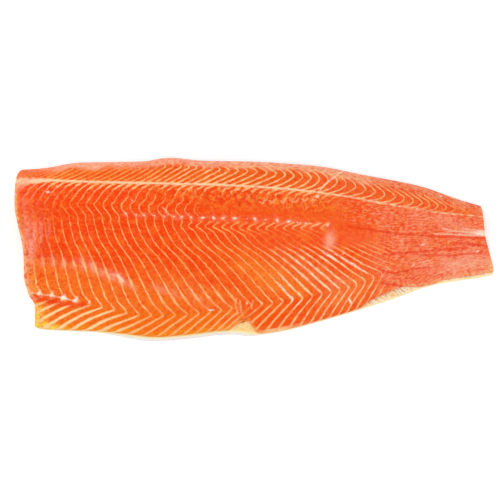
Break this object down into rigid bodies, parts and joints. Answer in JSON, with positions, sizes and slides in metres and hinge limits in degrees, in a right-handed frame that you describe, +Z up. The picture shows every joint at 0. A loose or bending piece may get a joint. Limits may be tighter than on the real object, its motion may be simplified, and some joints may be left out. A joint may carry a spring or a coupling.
{
  "type": "raw salmon fillet",
  "caption": "Raw side of salmon lying skin side down, with herringbone flakes, a pale seam along the back, pin bones, a torn notch in the belly edge and square-cut ends.",
  "frame": {"origin": "under the middle of the fillet's box, on the surface that it lies on", "axes": "+X along the fillet from the head cut to the tail cut, +Y across it from the belly edge to the back, +Z up"},
  "size_m": [0.5, 0.19, 0.0301],
  "materials": {
    "flesh": "wet raw salmon, orange-red with pale lines of fat",
    "skin": "wet fish skin, silver below and dark grey towards the back, cream on the inner side"
  },
  "bodies": {
    "root": {"flesh": "flesh", "skin": "skin"}
  },
  "joints": []
}
